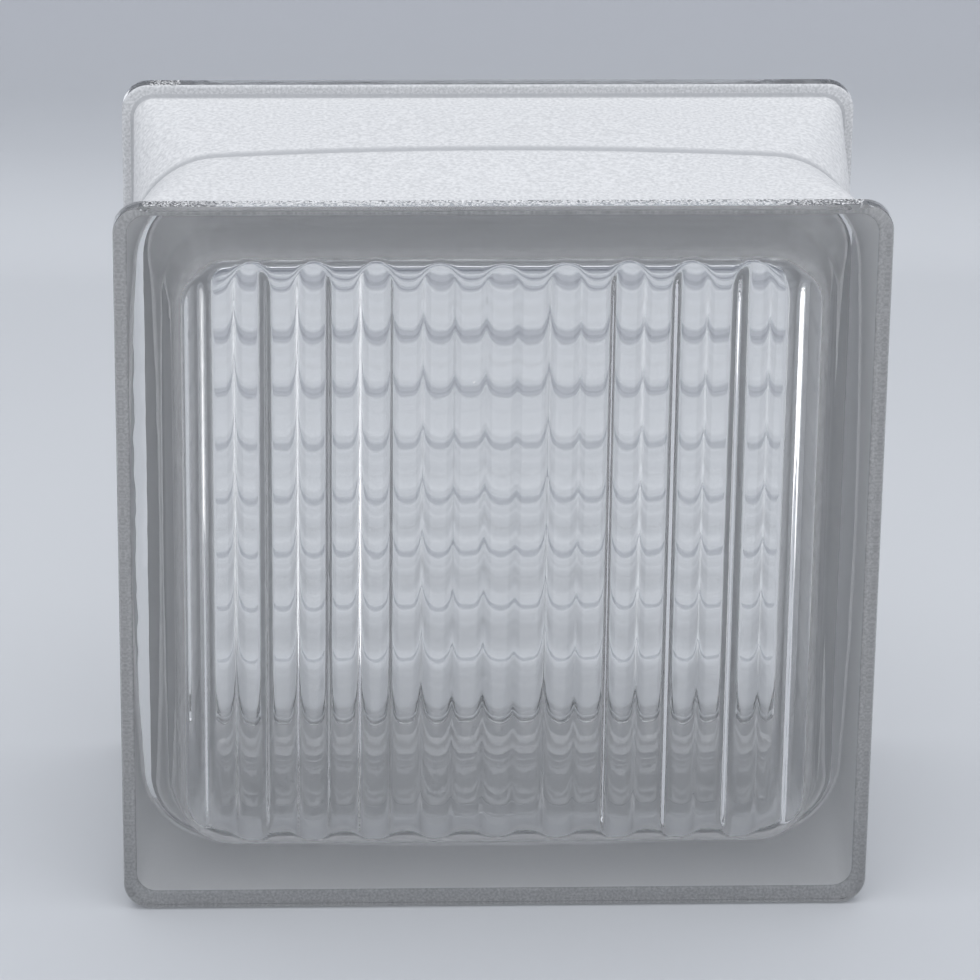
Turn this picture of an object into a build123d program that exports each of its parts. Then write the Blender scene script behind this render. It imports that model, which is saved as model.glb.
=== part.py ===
from build123d import *
import math
import os

# A hollow glass block for walls, standing on one edge as in the photo.
# Two pressed glass halves are fused face to face, and the edge between them has a thin white coating.
# Millimetres. The origin is under the middle of the block, +Z is up and the front face looks along -Y.

# Block, outside
block_width = 190.0
block_depth = 100.0
lip_depth = 6.0
lip_corner_radius = 7.0
face_edge_rounding = 1.5
lip_back_rounding = 0.8

# Channel round the edge, between the two lips
shoulder_inset = 3.4
shoulder_corner_radius = 5.0
seam_side_inset = 4.1
seam_bow = 1.8
seam_corner_radius = 21.0
rim_rounding = 0.8
rim_steps = 2

# Hollow inside, where the wall bends once on its way from the seam to the pane
pane_thickness_in_flutes = 7.0
wall_thickness_at_seam = 2.5
wall_bend_depth = 16.5
wall_taper_to_bend = 4.6
wall_taper_to_pane = 4.05
hollow_corner_radius = 17.0
hollow_corner_radius_at_pane = 13.0
pane_fillet = 9.3

# Ribs on the inside of each pane, one rib on the middle line
rib_pitch = 15.5
rib_height_at_middle = 2.2
rib_height_at_sides = 2.95
ribs_to_full_height = 2

# White coating in the channel
coating_thickness = 0.3
coating_rim_rounding = 0.5

# Sizes that follow from the ones above
half_width = block_width / 2
half_depth = block_depth / 2
shoulder_depth = half_depth - lip_depth
pane_plane_depth = half_depth - pane_thickness_in_flutes
seam_half_width = half_width - seam_side_inset
hollow_width_at_seam = 2 * (seam_half_width - wall_thickness_at_seam)
hollow_width_at_bend = hollow_width_at_seam - 2 * wall_taper_to_bend
hollow_width_at_pane = hollow_width_at_bend - 2 * wall_taper_to_pane
ribs_each_side = math.ceil(hollow_width_at_pane / 2 / rib_pitch)
block_middle = (0, 0, half_width)

# Each half is drawn from the seam outwards: x across its ribs, y along them, z towards its pane.
front_seam = Plane(origin=block_middle, x_dir=(1, 0, 0), z_dir=(0, -1, 0))
back_seam = Plane(origin=block_middle, x_dir=(0, 0, 1), z_dir=(0, 1, 0))


def bowed_square(plane, half_size, bow, corner_radius):
    """Draw on the plane a square whose sides bow outwards in the middle and run into round corners."""
    side_end = half_size - corner_radius
    with BuildSketch(plane) as outline:
        with BuildLine():
            for turn in range(4):
                spin = Rotation(0, 0, 90 * turn)
                side_start = (spin * Pos(half_size, -side_end)).position
                side_middle = (spin * Pos(half_size + bow, 0)).position
                corner_start = (spin * Pos(half_size, side_end)).position
                corner_end = (spin * Pos(side_end, half_size)).position
                side = ThreePointArc(side_start, side_middle, corner_start)
                TangentArc(corner_start, corner_end, tangent=side % 1)
        make_face()
    return outline.sketch


def channel_outlines(seam_plane, side, growth, rim_rounding):
    """Draw the channel's outlines from the lip to the seam: the last ones round off the rim."""
    shoulder_width = 2 * (half_width - shoulder_inset + growth)
    with BuildSketch(seam_plane.offset(side * shoulder_depth)) as shoulder:
        RectangleRounded(shoulder_width, shoulder_width, shoulder_corner_radius + growth)
    outlines = [shoulder.sketch]
    for step in range(rim_steps + 1):
        angle = math.radians(90 * step / rim_steps)
        height = rim_rounding * (1 - math.sin(angle))
        shift = growth - rim_rounding * (1 - math.cos(angle))
        outlines.append(
            bowed_square(
                seam_plane.offset(side * height),
                seam_half_width + shift,
                seam_bow,
                seam_corner_radius + shift,
            )
        )
    return outlines


def channel_body(seam_plane):
    """Make the glass of one half between its lip and the seam, still without its hollow."""
    with BuildPart() as body:
        loft(channel_outlines(seam_plane, 1, 0, rim_rounding), ruled=True)
    return body.part


def rib_height(number):
    """Height of one rib, counted from the middle: the middle ribs are pressed softer."""
    share_of_way = min(abs(number) / ribs_to_full_height, 1)
    return rib_height_at_middle + (rib_height_at_sides - rib_height_at_middle) * share_of_way


def rib_flank(number, side):
    """Draw one flank of a rib: a round crest, running without a corner into a round flute."""
    crest_x = number * rib_pitch
    height = rib_height(number)
    crest = (crest_x, pane_plane_depth - height)
    turning_point = (crest_x + side * rib_pitch / 4, pane_plane_depth - height / 2)
    flute = (crest_x + side * rib_pitch / 2, pane_plane_depth)
    TangentArc(crest, turning_point, tangent=(side, 0))
    TangentArc(flute, turning_point, tangent=(-side, 0))


def fluted_hollow(seam_plane):
    """Make the hollow of one half, with the ribs of its pane left standing in it."""
    pane_plane = seam_plane.offset(pane_plane_depth)
    across_ribs = Plane(origin=seam_plane.origin, x_dir=seam_plane.x_dir, z_dir=-seam_plane.y_dir)
    outermost_flute = (ribs_each_side + 0.5) * rib_pitch
    with BuildPart() as hollow:
        with BuildSketch(seam_plane):
            RectangleRounded(hollow_width_at_seam, hollow_width_at_seam, hollow_corner_radius)
        with BuildSketch(seam_plane.offset(wall_bend_depth)):
            RectangleRounded(hollow_width_at_bend, hollow_width_at_bend, hollow_corner_radius)
        with BuildSketch(pane_plane):
            RectangleRounded(hollow_width_at_pane, hollow_width_at_pane, hollow_corner_radius_at_pane)
        loft(ruled=True)
        pane_face = hollow.faces().filter_by(Axis.Y).sort_by(Axis(seam_plane.origin, seam_plane.z_dir))[-1]
        fillet(pane_face.edges(), pane_fillet)
        with BuildSketch(across_ribs):
            with BuildLine():
                for number in range(-ribs_each_side, ribs_each_side + 1):
                    rib_flank(number, -1)
                    rib_flank(number, 1)
                Polyline(
                    (-outermost_flute, pane_plane_depth),
                    (-outermost_flute, half_depth),
                    (outermost_flute, half_depth),
                    (outermost_flute, pane_plane_depth),
                )
            make_face()
        extrude(amount=half_width, both=True, mode=Mode.SUBTRACT)
    return hollow.part


def pressed_half(seam_plane):
    """Make one pressed half: a flat pane with a lip round it, and the walls down to the seam."""
    hollow = fluted_hollow(seam_plane)
    outwards = Axis(seam_plane.origin, seam_plane.z_dir)
    with BuildPart() as half:
        with BuildSketch(seam_plane.offset(shoulder_depth)):
            RectangleRounded(block_width, block_width, lip_corner_radius)
        extrude(amount=lip_depth)
        lip_faces = half.faces().filter_by(Axis.Y).sort_by(outwards)
        fillet(lip_faces[-1].edges(), face_edge_rounding)
        fillet(half.faces().filter_by(Axis.Y).sort_by(outwards)[0].edges(), lip_back_rounding)
        add(channel_body(seam_plane))
        add(hollow, mode=Mode.SUBTRACT)
    return half.part


def coated_channel():
    """Make the solid that fills the channel from lip to lip, out to the coating's surface."""
    front_outlines = channel_outlines(front_seam, 1, coating_thickness, coating_rim_rounding)
    back_outlines = channel_outlines(front_seam, -1, coating_thickness, coating_rim_rounding)
    with BuildPart() as filled:
        loft(front_outlines + back_outlines[-2::-1], ruled=True)
    return filled.part


# Front half, with upright ribs
with BuildPart() as front_half:
    add(pressed_half(front_seam))

# Back half, the same pressing turned a quarter, so that its ribs lie level
with BuildPart() as back_half:
    add(pressed_half(back_seam))

# Coating
with BuildPart() as edge_coating:
    add(coated_channel())
    add(channel_body(front_seam), mode=Mode.SUBTRACT)
    add(channel_body(back_seam), mode=Mode.SUBTRACT)

# Files
front_half.part.label = "front_half"
back_half.part.label = "back_half"
edge_coating.part.label = "edge_coating"
os.makedirs("parts", exist_ok=True)
export_step(front_half.part, "parts/front_half.step")
export_step(back_half.part, "parts/back_half.step")
export_step(edge_coating.part, "parts/edge_coating.step")
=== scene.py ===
import math

import bpy
import numpy as np
from mathutils import Matrix, Vector


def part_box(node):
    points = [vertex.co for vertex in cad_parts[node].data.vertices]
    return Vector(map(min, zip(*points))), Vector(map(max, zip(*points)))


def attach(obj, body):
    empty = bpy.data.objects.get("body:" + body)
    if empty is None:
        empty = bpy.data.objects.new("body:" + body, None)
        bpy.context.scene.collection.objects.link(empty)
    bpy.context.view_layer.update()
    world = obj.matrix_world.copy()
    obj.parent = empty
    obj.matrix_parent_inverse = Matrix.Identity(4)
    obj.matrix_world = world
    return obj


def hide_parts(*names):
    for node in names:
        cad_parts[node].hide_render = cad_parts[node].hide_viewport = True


# Glass block: the looks. Metres, in the frame of the CAD model.
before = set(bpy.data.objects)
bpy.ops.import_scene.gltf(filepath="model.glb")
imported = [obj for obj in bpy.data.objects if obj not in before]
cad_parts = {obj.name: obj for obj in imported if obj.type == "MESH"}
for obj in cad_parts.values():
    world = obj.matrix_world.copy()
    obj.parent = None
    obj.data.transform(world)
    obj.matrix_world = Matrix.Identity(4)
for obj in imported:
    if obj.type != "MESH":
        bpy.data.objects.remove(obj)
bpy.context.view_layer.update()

# Sizes of the block, as in part.py
low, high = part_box("front_half")
half_width = (high.x - low.x) / 2
middle_height = (high.z + low.z) / 2
half_depth = -low.y
lip_depth = 0.006
lip_corner_radius = 0.007
face_edge_rounding = 0.0015
lip_back_rounding = 0.0008
shoulder_inset = 0.0034
shoulder_corner_radius = 0.005
shoulder_fillet = 0.0009
seam_side_inset = 0.0041
seam_bow = 0.0018
seam_corner_radius = 0.021
rim_rounding = 0.0008
pane_thickness = 0.007
wall_thickness_at_seam = 0.0025
wall_bend_depth = 0.0165
wall_taper_to_bend = 0.0046
wall_taper_to_pane = 0.00405
hollow_corner_radius = 0.017
hollow_corner_radius_at_pane = 0.013
pane_fillet = 0.0093
rib_pitch = 0.0155
rib_height_at_middle = 0.0022
rib_height_at_sides = 0.00295
ribs_to_full_height = 2
rib_end_blend = 0.0005

# White coating: its grain, and its groove along the seam
coating_thickness = 0.0003
coat_grain = 0.00004
groove_depth = 0.00035
groove_half_width = 0.0011

# Stray paint
drop_height = 0.00004
drop_sink = 0.00002
smallest_drop = 0.0002
largest_drop = 0.0005
drop_corners = 6
drop_crowding = 1.2
drops_on_front_lip = 2600
drops_on_back_lip = 150
painted_half_width = 0.0875
back_patch_end = -0.080
pane_speck_x = -0.0071
pane_speck_z = 0.1445

# Sizes that follow
shoulder_depth = half_depth - lip_depth
pane_depth = half_depth - pane_thickness
seam_half = half_width - seam_side_inset
shoulder_half = half_width - shoulder_inset
channel_start = shoulder_depth - shoulder_fillet
hollow_half_at_seam = seam_half - wall_thickness_at_seam
hollow_half_at_bend = hollow_half_at_seam - wall_taper_to_bend
hollow_half_at_pane = hollow_half_at_bend - wall_taper_to_pane
hollow_corner_middle = hollow_half_at_pane - hollow_corner_radius_at_pane
wall_angle = math.atan2(wall_taper_to_pane, pane_depth - wall_bend_depth)
pane_flat_half = hollow_half_at_pane - pane_fillet * math.tan((math.pi / 2 - wall_angle) / 2)

# How finely the surfaces are divided
hollow_steps_across = 340
hollow_steps_along = 70
hollow_crowding = 0.8
ribbed_patch_end = 45
fillet_steps = 5
wall_steps = 6
outer_steps = 48
face_rounding_steps = 6
lip_rounding_steps = 4
channel_steps = 24
corner_steps = 14
coat_steps = 140
coat_steps_to_groove = 35
coat_steps_in_groove = 13
coat_fillet_steps = 4
smooth_coat_rings = 7

# Numbers of a half's materials
clear = 0
coated = 1
sprayed = 2

# Camera of the photograph, fitted to the block's outline
camera_focal_share = 5.2597
camera_distance = 1.3301
camera_pitch = math.radians(22.716)
camera_yaw = math.radians(2.645)
camera_roll = math.radians(0.725)
camera_target = Vector((-0.0005, 0, 0.0949))

# Studio
backdrop_distance = 0.46
floor_front_edge = -2.4
sweep_half_width = 1.6
sweep_height = 0.6
sweep_radius = 0.05
sweep_steps = 10
world_colour = (0.5, 0.52, 0.56, 1)
world_strength = 1.8
softbox_size = 2.2
softbox_power = 11.5
softbox_place = (0, -0.1, 1.3)
low_card_width = 1.4
low_card_depth = 0.94
low_card_power = 3.6
low_card_place = (0, -0.60, 0.005)


def side_column(half, radius, bow, side_places):
    """Points up the right side of a rounded square, from its bottom edge to its top edge."""
    straight = half - radius
    side = np.stack([half + bow * (1 - side_places**2), side_places * straight], 1)
    half_turn = math.pi / 4 - math.atan(2 * bow / straight)
    arc_radius = radius / math.sqrt(2) / math.sin(half_turn)
    arc_middle = straight + radius / 2 - arc_radius * math.cos(half_turn) / math.sqrt(2)
    angles = math.pi / 4 + np.linspace(-half_turn, half_turn, corner_steps + 1)
    corner = arc_middle + arc_radius * np.stack([np.cos(angles), np.sin(angles)], 1)
    lower_corner = corner[::-1] * (1, -1)
    return np.concatenate([lower_corner[:-1], side, corner[1:]])


def ring(half, radius, bow, side_places, top_places):
    """Points round a rounded square, counter-clockwise from the bottom of its right side."""
    column = side_column(half, radius, bow, side_places)
    straight = half - radius
    top = np.stack([top_places * straight, half + bow * (1 - top_places**2)], 1)
    first = corner_steps
    return np.concatenate([
        column[first:],
        top[-2:0:-1],
        column[::-1] * (-1, 1),
        top[1:-1] * (1, -1),
        column[:first],
    ])


def patch(half, radius, side_places, top_places):
    """Points of a grid that fills a rounded square, row by row from the bottom."""
    column = side_column(half, radius, 0, side_places)
    return np.stack([
        column[:, :1] * top_places[None, :],
        np.repeat(column[:, 1:], len(top_places), 1),
    ], 2)


def patch_border(rows, columns):
    """Indices of a patch's outer points, in the same order as ring gives them."""
    index = np.arange(rows * columns).reshape(rows, columns)
    first = corner_steps
    return np.concatenate([
        index[first:, -1],
        index[-1, -2:0:-1],
        index[::-1, 0],
        index[0, 1:-1],
        index[:first, -1],
    ])


def bowl_mesh(patch_points, stations, side_places, top_places):
    """Join a patch and the rings below it. Stations are (half, radius, bow, depth, material)."""
    rows, columns = patch_points.shape[:2]
    points = [patch_points.reshape(-1, 3)]
    index = np.arange(rows * columns).reshape(rows, columns)
    quads = [np.stack([index[:-1, :-1], index[:-1, 1:], index[1:, 1:], index[1:, :-1]], 2).reshape(-1, 4)]
    materials = [np.full(len(quads[0]), clear)]
    previous = patch_border(rows, columns)
    count = rows * columns
    for half, radius, bow, depth, material in stations:
        outline = ring(half, radius, bow, side_places, top_places)
        points.append(np.column_stack([outline, np.full(len(outline), depth)]))
        current = np.arange(count, count + len(outline))
        count += len(outline)
        quads.append(np.stack([np.roll(previous, -1), previous, current, np.roll(current, -1)], 1))
        materials.append(np.full(len(outline), material))
        previous = current
    return np.concatenate(points), np.concatenate(quads), np.concatenate(materials)


def rib_surface(across):
    """Depth of the ribbed inner face of the pane: round crests that run into round flutes."""
    number = np.round(across / rib_pitch)
    share = np.minimum(np.abs(number) / ribs_to_full_height, 1)
    height = rib_height_at_middle + (rib_height_at_sides - rib_height_at_middle) * share
    steepest = 2 * np.arctan(2 * height / rib_pitch)
    radius = rib_pitch / 4 / np.sin(steepest)
    from_crest = np.abs(across - number * rib_pitch)
    from_flute = rib_pitch / 2 - from_crest
    crest = pane_depth - height + radius - np.sqrt(radius**2 - np.minimum(from_crest, rib_pitch / 4) ** 2)
    flute = pane_depth - radius + np.sqrt(radius**2 - np.minimum(from_flute, rib_pitch / 4) ** 2)
    return np.where(from_crest < rib_pitch / 4, crest, flute)


def beyond_flat(across, along):
    """Distance outwards from the flat part of the hollow's end, or zero on it."""
    past_x = np.abs(across) - hollow_corner_middle
    past_y = np.abs(along) - hollow_corner_middle
    from_middle = np.hypot(np.maximum(past_x, 0), np.maximum(past_y, 0))
    from_middle = from_middle + np.minimum(np.maximum(past_x, past_y), 0)
    return np.maximum(from_middle - (pane_flat_half - hollow_corner_middle), 0)


def smooth_lower(first, second, blend):
    """The lower of two depths, with their crossing rounded over."""
    overlap = np.maximum(blend - np.abs(first - second), 0) / blend
    return np.minimum(first, second) - overlap**2 * blend / 4


def pane_surface(across, along):
    """Depth of the hollow's end: the fillet to the walls, with the ribs left standing."""
    fillet = pane_depth - pane_fillet + np.sqrt(pane_fillet**2 - beyond_flat(across, along) ** 2)
    return smooth_lower(fillet, rib_surface(across), rib_end_blend)


def arc(start, end, steps):
    """Angles from start to end in degrees, without the first, in radians."""
    return np.radians(np.linspace(start, end, steps + 1)[1:])


def outer_stations():
    """Rings of the outside, from the front face to the bottom of the groove at the seam."""
    corner_middle = half_width - lip_corner_radius
    stations = []
    for angle in arc(90, 0, face_rounding_steps):
        half = half_width - face_edge_rounding * (1 - math.cos(angle))
        depth = half_depth - face_edge_rounding * (1 - math.sin(angle))
        stations.append((half, half - corner_middle, 0, depth, clear))
    back_edge = half_depth - lip_depth + lip_back_rounding
    for angle in np.concatenate([[0.0], arc(0, 90, lip_rounding_steps)]):
        half = half_width - lip_back_rounding * (1 - math.cos(angle))
        depth = back_edge - lip_back_rounding * math.sin(angle)
        stations.append((half, half - corner_middle, 0, depth, sprayed if angle > 0 else clear))
    wall_end = shoulder_half + shoulder_fillet
    stations.append((wall_end, shoulder_corner_radius + shoulder_fillet, 0, shoulder_depth, sprayed))
    for angle in arc(90, 0, fillet_steps):
        half = shoulder_half + shoulder_fillet * (1 - math.cos(angle))
        depth = shoulder_depth - shoulder_fillet * (1 - math.sin(angle))
        stations.append((half, half - shoulder_half + shoulder_corner_radius, 0, depth, sprayed))
    for share in np.linspace(0, 1, channel_steps + 1)[1:]:
        depth = channel_start + (rim_rounding - channel_start) * share
        half = shoulder_half + (seam_half - shoulder_half) * share
        radius = shoulder_corner_radius + (seam_corner_radius - shoulder_corner_radius) * share
        stations.append((half, radius, seam_bow * share, depth, coated))
    for angle in arc(0, 90, fillet_steps):
        inwards = rim_rounding * (1 - math.cos(angle))
        depth = rim_rounding * (1 - math.sin(angle))
        stations.append((seam_half - inwards, seam_corner_radius - inwards, seam_bow, depth, coated))
    return stations


def hollow_stations():
    """Rings of the hollow, from the patch on the pane to the seam."""
    profile = []
    for angle in arc(ribbed_patch_end, math.degrees(wall_angle), fillet_steps):
        half = pane_flat_half + pane_fillet * math.cos(angle)
        depth = pane_depth - pane_fillet * (1 - math.sin(angle))
        profile.append((half, half - hollow_corner_middle, depth))
    bend = (hollow_half_at_bend, hollow_corner_radius, wall_bend_depth)
    for end in (bend, (hollow_half_at_seam, hollow_corner_radius, 0)):
        start = profile[-1]
        for share in np.linspace(0, 1, wall_steps + 1)[1:]:
            profile.append([first + (last - first) * share for first, last in zip(start, end)])
    return [(half, radius, 0, depth, clear) for half, radius, depth in profile]


def spread_to_ends(steps, crowding):
    """Places from -1 to 1 that lie closer together towards both ends."""
    even = np.linspace(-1, 1, steps + 1)
    return np.sin(even * math.pi / 2 * crowding) / math.sin(math.pi / 2 * crowding)


def half_shell():
    """Points, quads and materials of one half, drawn across its ribs, along them and outwards."""
    places = np.linspace(-1, 1, outer_steps + 1)
    face_half = half_width - face_edge_rounding
    face = patch(face_half, lip_corner_radius - face_edge_rounding, places, places)
    face = np.concatenate([face, np.full(face.shape[:2] + (1,), half_depth)], 2)
    outside, outside_quads, outside_materials = bowl_mesh(face, outer_stations(), places, places)

    along = spread_to_ends(hollow_steps_along, hollow_crowding)
    across = np.linspace(-1, 1, hollow_steps_across + 1)
    end_half = pane_flat_half + pane_fillet * math.cos(math.radians(ribbed_patch_end))
    end = patch(end_half, end_half - hollow_corner_middle, along, across)
    depth = pane_surface(end[:, :, 0], end[:, :, 1])
    end = np.concatenate([end, depth[:, :, None]], 2)
    inside, inside_quads, inside_materials = bowl_mesh(end, hollow_stations(), along, across)

    points = np.concatenate([outside, inside])
    quads = np.concatenate([outside_quads, inside_quads[:, ::-1] + len(outside)])
    return points, quads, np.concatenate([outside_materials, inside_materials])


def make_piece(name, points, quads, face_materials, materials):
    """Make a smooth mesh piece that rides on the block."""
    mesh = bpy.data.meshes.new(name)
    mesh.from_pydata(points.tolist(), [], quads.tolist())
    for material in materials:
        mesh.materials.append(material)
    mesh.polygons.foreach_set("material_index", face_materials.astype(np.int32))
    mesh.polygons.foreach_set("use_smooth", np.ones(len(mesh.polygons), bool))
    mesh.update()
    piece = bpy.data.objects.new(name, mesh)
    bpy.context.scene.collection.objects.link(piece)
    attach(piece, "root")
    return piece


class Look:
    """A node material on one Principled shader. Its nodes are wired as they are made."""

    def __init__(self, name):
        self.material = bpy.data.materials.new(name)
        self.material.use_nodes = True
        self.nodes = self.material.node_tree.nodes
        self.shader = self.nodes["Principled BSDF"]

    def link(self, source, target):
        self.material.node_tree.links.new(source, target)

    def feed(self, target, value):
        """Wire a socket to the target, or set the target to a plain value."""
        if isinstance(value, bpy.types.NodeSocket):
            self.link(value, target)
        else:
            target.default_value = value

    def set(self, name, value):
        self.feed(self.shader.inputs[name], value)

    def place(self):
        """The object's own coordinates, in metres."""
        return self.nodes.new("ShaderNodeTexCoord").outputs["Object"]

    def axis(self, vector, name):
        split = self.nodes.new("ShaderNodeSeparateXYZ")
        self.link(vector, split.inputs["Vector"])
        return split.outputs[name]

    def noise(self, scale, detail):
        """Noise over the object's own coordinates: one over the scale is its grain in metres."""
        texture = self.nodes.new("ShaderNodeTexNoise")
        texture.inputs["Scale"].default_value = scale
        texture.inputs["Detail"].default_value = detail
        self.link(self.place(), texture.inputs["Vector"])
        return texture.outputs["Fac"]

    def math(self, operation, *values):
        node = self.nodes.new("ShaderNodeMath")
        node.operation = operation
        for target, value in zip(node.inputs, values):
            self.feed(target, value)
        return node.outputs["Value"]

    def spread(self, value, start, end, first, last):
        """Turn a value between start and end into one between first and last."""
        node = self.nodes.new("ShaderNodeMapRange")
        node.inputs["From Min"].default_value = start
        node.inputs["From Max"].default_value = end
        node.inputs["To Min"].default_value = first
        node.inputs["To Max"].default_value = last
        self.link(value, node.inputs["Value"])
        return node.outputs["Result"]

    def mix(self, share, first, second):
        """Mix two colours: the share is that of the second one."""
        node = self.nodes.new("ShaderNodeMix")
        node.data_type = "RGBA"
        self.link(share, node.inputs["Factor"])
        self.feed(node.inputs["A"], first)
        self.feed(node.inputs["B"], second)
        return node.outputs["Result"]

    def bump(self, height, distance, strength):
        node = self.nodes.new("ShaderNodeBump")
        node.inputs["Distance"].default_value = distance
        node.inputs["Strength"].default_value = strength
        self.link(height, node.inputs["Height"])
        self.set("Normal", node.outputs["Normal"])


def grey(value):
    return (value, value, value, 1)


def clear_glass():
    """Clear pressed glass: faint waves in its surface, and a tint that hardly varies."""
    look = Look("clear_pressed_glass")
    waves = look.noise(70, 2)
    look.set("Base Color", look.mix(waves, (0.980, 0.985, 0.989, 1), (0.988, 0.992, 0.996, 1)))
    look.set("Transmission Weight", 1)
    look.set("Roughness", 0)
    look.set("IOR", 1.52)
    look.bump(waves, 0.00008, 1)
    return look.material


def coated_glass():
    """White coating seen through the glass: on the sides it mirrors, at a very flat angle only."""
    look = Look("coated_glass")
    look.set("Base Color", look.mix(look.noise(700, 3), (0.96, 0.965, 0.97, 1), grey(0.99)))
    facing = look.nodes.new("ShaderNodeLayerWeight")
    facing.inputs["Blend"].default_value = 0.5
    flat_angle = look.spread(facing.outputs["Facing"], 0.58, 0.68, 0, 1)
    normal = look.nodes.new("ShaderNodeNewGeometry").outputs["Normal"]
    on_sides = look.spread(look.math("ABSOLUTE", look.axis(normal, "X")), 0.5, 0.8, 0.08, 0.35)
    mirror = look.math("MULTIPLY", flat_angle, on_sides)
    look.set("Metallic", mirror)
    look.set("Roughness", look.spread(mirror, 0, 1, 1, 0.02))
    look.set("Specular IOR Level", 0.3)
    return look.material


def sprayed_lip():
    """Thin grainy paint on the glass of the lips' inner sides."""
    look = Look("sprayed_lip")
    grain = look.spread(look.noise(1500, 3), 0.35, 0.65, 0, 1)
    look.set("Base Color", look.mix(grain, (0.44, 0.445, 0.45, 1), (0.62, 0.62, 0.625, 1)))
    look.set("Roughness", 0.9)
    return look.material


def edge_coat():
    """Sprayed white coat: grainy, with painted shade as grey lines in the groove along the seam and in the
    coat's fillet beside the lips.
    """
    look = Look("edge_coat")
    texture = look.noise(1000, 4)
    grain = look.mix(look.spread(texture, 0.35, 0.65, 0, 1), (0.53, 0.532, 0.535, 1), grey(0.67))
    from_seam = look.math("ABSOLUTE", look.axis(look.place(), "Y"))
    # Painted shade: a grey line in the groove along the seam, and one in the coat's fillet beside the lips.
    painted_seam_shade = look.spread(from_seam, 0.0008, 0.0026, 0.85, 0)
    painted_fillet_shade = look.spread(from_seam, 0.0428, 0.0434, 0, 0.8)
    painted_shade_lines = look.math("MAXIMUM", painted_seam_shade, painted_fillet_shade)
    look.set("Base Color", look.mix(painted_shade_lines, grain, (0.36, 0.365, 0.375, 1)))
    look.set("Roughness", 0.8)
    look.bump(texture, 0.0003, 0.8)
    return look.material


def stray_paint_and_painted_shadow():
    """Stray paint: white drops, and near the block's corners dark ones among them, which are painted shadows
    of the white specks.
    """
    look = Look("stray_paint_and_painted_shadow")
    # Painted shadow: near the corners the noise turns some drops dark, as shadows beside the white specks;
    # the middle stays all white.
    speckle = look.spread(look.noise(1600, 2), 0.42, 0.52, 0, 1)
    from_middle = look.math("ABSOLUTE", look.axis(look.place(), "X"))
    all_white = look.spread(from_middle, 0.066, 0.078, 1, 0)
    white_share = look.math("MAXIMUM", speckle, all_white)
    look.set("Base Color", look.mix(white_share, (0.06, 0.06, 0.065, 1), grey(0.74)))
    look.set("Roughness", 0.6)
    return look.material


def studio_paper():
    """Pale paper with painted shade: darker towards the camera and up the backdrop, and dimmer seen through
    glass.

    From behind it lets the camera see through it.
    """
    look = Look("studio_paper")
    place = look.place()
    # Painted shade: the paper's colour falls off towards the camera and up the backdrop.
    towards_front = look.math("MULTIPLY_ADD", look.axis(place, "Y"), -0.1, 0.015)
    height = look.math("MAXIMUM", towards_front, look.axis(place, "Z"))
    paper = look.nodes.new("ShaderNodeValToRGB")
    shades = [
        (0, (0.60, 0.612, 0.625, 1)),
        (0.08, (0.50, 0.512, 0.53, 1)),
        (0.25, (0.48, 0.49, 0.52, 1)),
        (0.75, (0.19, 0.20, 0.225, 1)),
    ]
    for share, colour in shades[1:-1]:
        paper.color_ramp.elements.new(share)
    for stop, (share, colour) in zip(paper.color_ramp.elements, shades):
        stop.position = share
        stop.color = colour
    look.link(look.spread(height, 0, 0.4, 0, 1), paper.inputs["Fac"])
    light_path = look.nodes.new("ShaderNodeLightPath")
    dimmed = look.nodes.new("ShaderNodeVectorMath")
    dimmed.operation = "SCALE"
    look.link(paper.outputs["Color"], dimmed.inputs[0])
    look.link(look.spread(light_path.outputs["Is Transmission Ray"], 0, 1, 1, 0.84), dimmed.inputs["Scale"])
    look.set("Base Color", dimmed.outputs["Vector"])
    look.set("Roughness", 0.9)
    geometry = look.nodes.new("ShaderNodeNewGeometry")
    from_behind = look.math("MULTIPLY", geometry.outputs["Backfacing"], light_path.outputs["Is Camera Ray"])
    see_through = look.nodes.new("ShaderNodeBsdfTransparent")
    either = look.nodes.new("ShaderNodeMixShader")
    look.link(from_behind, either.inputs["Fac"])
    look.link(look.shader.outputs["BSDF"], either.inputs[1])
    look.link(see_through.outputs["BSDF"], either.inputs[2])
    look.link(either.outputs["Shader"], look.nodes["Material Output"].inputs["Surface"])
    return look.material


def front_place(points):
    """Place a half with its pane to the front and its ribs upright."""
    return np.column_stack([points[:, 0], -points[:, 2], points[:, 1] + middle_height])


def back_place(points):
    """Place a half with its pane to the back and its ribs level."""
    return np.column_stack([points[:, 1], points[:, 2], points[:, 0] + middle_height])


def build_glass():
    """Dress the two glass halves."""
    looks = [clear_glass(), coated_glass(), sprayed_lip()]
    points, quads, face_materials = half_shell()
    front = make_piece("front_shell", front_place(points), quads, face_materials, looks)
    back = make_piece("back_shell", back_place(points), quads, face_materials, looks)
    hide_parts("front_half")
    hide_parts("back_half")


def coat_stations():
    """Rings of the coat's surface in one half, from the lip to the seam."""
    inner_fillet = shoulder_fillet - coating_thickness
    edge = shoulder_half + shoulder_fillet + coating_thickness
    profile = [(edge, edge - shoulder_half + shoulder_corner_radius, 0, shoulder_depth)]
    for angle in np.concatenate([[math.pi / 2], arc(90, 0, coat_fillet_steps)]):
        half = shoulder_half + shoulder_fillet - inner_fillet * math.cos(angle)
        depth = channel_start + inner_fillet * math.sin(angle)
        profile.append((half, half - shoulder_half + shoulder_corner_radius, 0, depth))
    near_seam = 4 * groove_half_width
    wide_steps = np.linspace(channel_start, near_seam, coat_steps_to_groove + 1)[1:]
    narrow_steps = np.linspace(near_seam, 0, coat_steps_in_groove + 1)[1:]
    for depth in np.concatenate([wide_steps, narrow_steps]):
        share = min((channel_start - depth) / (channel_start - rim_rounding), 1)
        lift = coating_thickness - groove_depth * math.exp(-((depth / groove_half_width) ** 2))
        half = shoulder_half + (seam_half - shoulder_half) * share + lift
        radius = shoulder_corner_radius + (seam_corner_radius - shoulder_corner_radius) * share + lift
        profile.append((half, radius, seam_bow * share, depth))
    return profile


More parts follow.
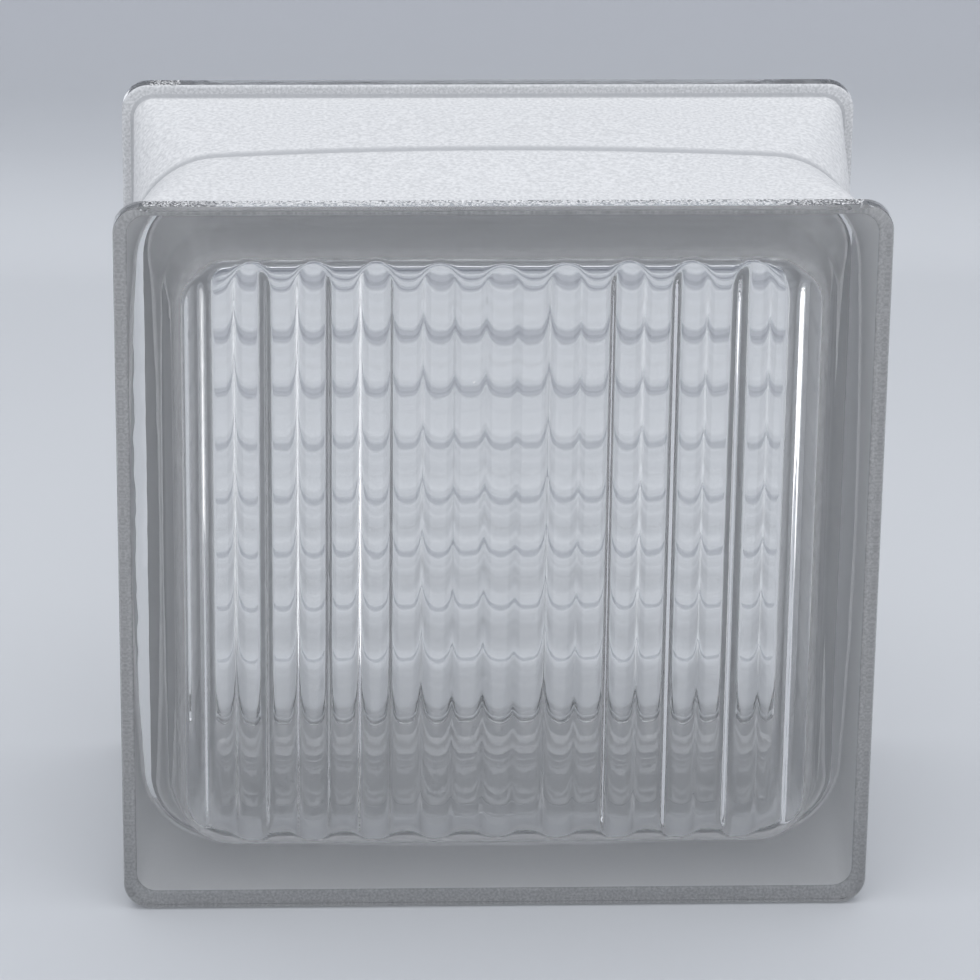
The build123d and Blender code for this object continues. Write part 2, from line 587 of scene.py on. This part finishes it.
def coat_skin():
    """Points and quads of the coat's outer surface, with its grain standing out of it."""
    places = np.linspace(-1, 1, coat_steps + 1)
    front = coat_stations()
    stations = front + [(half, radius, bow, -depth) for half, radius, bow, depth in front[-2::-1]]
    rings = np.array([ring(half, radius, bow, places, places) for half, radius, bow, depth in stations])
    random = np.random.default_rng(5)
    grain = random.normal(size=rings.shape[:2])
    grain = (grain + np.roll(grain, 1, 0) + np.roll(grain, 1, 1) + np.roll(grain, (1, 1), (0, 1))) / 4
    grain[:smooth_coat_rings] = 0
    grain[-smooth_coat_rings:] = 0
    along = np.roll(rings, -1, 1) - np.roll(rings, 1, 1)
    outwards = np.stack([along[:, :, 1], -along[:, :, 0]], 2)
    outwards /= np.linalg.norm(outwards, axis=2, keepdims=True)
    rings = rings + outwards * grain[:, :, None] * coat_grain
    depths = np.array([station[3] for station in stations])
    points = np.dstack([rings, np.repeat(depths[:, None], rings.shape[1], 1)]).reshape(-1, 3)
    index = np.arange(len(points)).reshape(rings.shape[:2])
    upper, lower = index[:-1], index[1:]
    quads = np.stack([np.roll(upper, -1, 1), upper, lower, np.roll(lower, -1, 1)], 2).reshape(-1, 4)
    return points, quads


def build_coating():
    """Dress the coating in the channel."""
    points, quads = coat_skin()
    coat = make_piece("edge_coat_skin", front_place(points), quads, np.zeros(len(quads), int), [edge_coat()])
    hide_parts("edge_coating")


def drop(random, middle, across, along):
    """Points and triangles of one flat dried drop with an uneven rim, closed underneath."""
    angles = 2 * math.pi * np.arange(drop_corners) / drop_corners
    radius = random.uniform(smallest_drop, largest_drop)
    rim = radius * random.uniform(0.6, 1.2, drop_corners)
    outwards = np.cross(across, along)
    round_shape = np.cos(angles)[:, None] * across + np.sin(angles)[:, None] * along
    lower = middle + rim[:, None] * round_shape - drop_sink * outwards
    upper = middle + 0.6 * rim[:, None] * round_shape + drop_height * outwards
    points = np.concatenate([lower, upper, [middle - drop_sink * outwards, middle + drop_height * outwards]])
    here = np.arange(drop_corners)
    after = np.roll(here, -1)
    under = np.full(drop_corners, 2 * drop_corners)
    triangles = np.concatenate([
        np.stack([here, after, after + drop_corners], 1),
        np.stack([here, after + drop_corners, here + drop_corners], 1),
        np.stack([here + drop_corners, after + drop_corners, under + 1], 1),
        np.stack([after, here, under], 1),
    ])
    return points, triangles


def stray_drops():
    """Points and triangles of each drop on top of the lips, and of one dark speck on the front pane."""
    random = np.random.default_rng(11)
    right, back, up = np.eye(3)
    lip_front = -half_depth + face_edge_rounding
    lip_back = -half_depth + lip_depth - lip_back_rounding
    zones = [
        (drops_on_front_lip, -painted_half_width, painted_half_width, 1),
        (drops_on_back_lip, -painted_half_width, back_patch_end, -1),
    ]
    drops = []
    for count, first_x, last_x, side in zones:
        for _ in range(count):
            y = lip_back + (lip_front - lip_back) * random.uniform() ** drop_crowding
            x = random.uniform(first_x, last_x)
            drops.append(drop(random, np.array((x, side * y, 2 * half_width)), right, back))
    drops.append(drop(random, np.array((pane_speck_x, -half_depth, pane_speck_z)), right, up))
    return drops


def build_overspray():
    """Add the stray paint as one piece."""
    drops = stray_drops()
    points = np.concatenate([part[0] for part in drops])
    starts = np.cumsum([0] + [len(part[0]) for part in drops[:-1]])
    triangles = np.concatenate([part[1] + start for part, start in zip(drops, starts)])
    paint = [stray_paint_and_painted_shadow()]
    piece = make_piece("overspray", points, triangles, np.zeros(len(triangles), int), paint)


def build_camera():
    """Set up the camera of the photograph."""
    data = bpy.data.cameras.new("photo_camera")
    data.sensor_width = 36
    data.lens = data.sensor_width * camera_focal_share
    data.clip_end = 50
    camera = bpy.data.objects.new("photo_camera", data)
    forward = Vector((
        math.sin(camera_yaw) * math.cos(camera_pitch),
        math.cos(camera_yaw) * math.cos(camera_pitch),
        -math.sin(camera_pitch),
    ))
    right = Vector((math.cos(camera_yaw), -math.sin(camera_yaw), 0))
    up = right.cross(forward)
    rolled_right = right * math.cos(camera_roll) + up * math.sin(camera_roll)
    rolled_up = up * math.cos(camera_roll) - right * math.sin(camera_roll)
    turned = Matrix((rolled_right, rolled_up, -forward)).transposed().to_4x4()
    camera.matrix_world = Matrix.Translation(camera_target - forward * camera_distance) @ turned
    bpy.context.scene.collection.objects.link(camera)
    bpy.context.scene.camera = camera


def soft_lamp(name, width, depth, power, place, tilt):
    """Add a rectangular lamp. Without a tilt it shines straight down."""
    data = bpy.data.lights.new(name, "AREA")
    data.shape = "RECTANGLE"
    data.size = width
    data.size_y = depth
    data.energy = power
    lamp = bpy.data.objects.new(name, data)
    lamp.location = place
    lamp.rotation_euler = (tilt, 0, 0)
    bpy.context.scene.collection.objects.link(lamp)
    return lamp


def sweep_profile():
    """Outline of the paper seen from the side: along the floor, round a curve and up."""
    curve_start = backdrop_distance - sweep_radius
    profile = [(floor_front_edge, 0), (curve_start, 0)]
    for angle in arc(-90, 0, sweep_steps):
        profile.append((
            curve_start + sweep_radius * math.cos(angle),
            sweep_radius + sweep_radius * math.sin(angle),
        ))
    profile.append((backdrop_distance, sweep_height))
    return profile


def build_studio():
    """Set up the paper sweep, the world, the softbox above and the low card in front."""
    profile = sweep_profile()
    points = [(x, y, z) for y, z in profile for x in (-sweep_half_width, sweep_half_width)]
    quads = [(2 * i, 2 * i + 1, 2 * i + 3, 2 * i + 2) for i in range(len(profile) - 1)]
    mesh = bpy.data.meshes.new("studio_sweep")
    mesh.from_pydata(points, [], quads)
    mesh.polygons.foreach_set("use_smooth", np.ones(len(mesh.polygons), bool))
    mesh.materials.append(studio_paper())
    sweep = bpy.data.objects.new("studio_sweep", mesh)
    bpy.context.scene.collection.objects.link(sweep)

    world = bpy.data.worlds.new("studio_world")
    world.use_nodes = True
    world.node_tree.nodes["Background"].inputs["Color"].default_value = world_colour
    world.node_tree.nodes["Background"].inputs["Strength"].default_value = world_strength
    bpy.context.scene.world = world

    soft_lamp("softbox", softbox_size, softbox_size, softbox_power, softbox_place, 0)
    low_card = soft_lamp("low_card", low_card_width, low_card_depth, low_card_power, low_card_place, math.pi)
    low_card.visible_glossy = False


build_camera()
build_studio()
build_glass()
build_coating()
build_overspray()

scene = bpy.context.scene
scene.view_settings.view_transform = "Standard"
scene.cycles.max_bounces = 16
scene.cycles.transmission_bounces = 16
scene.cycles.glossy_bounces = 6
scene.cycles.diffuse_bounces = 5
scene.cycles.use_denoising = True
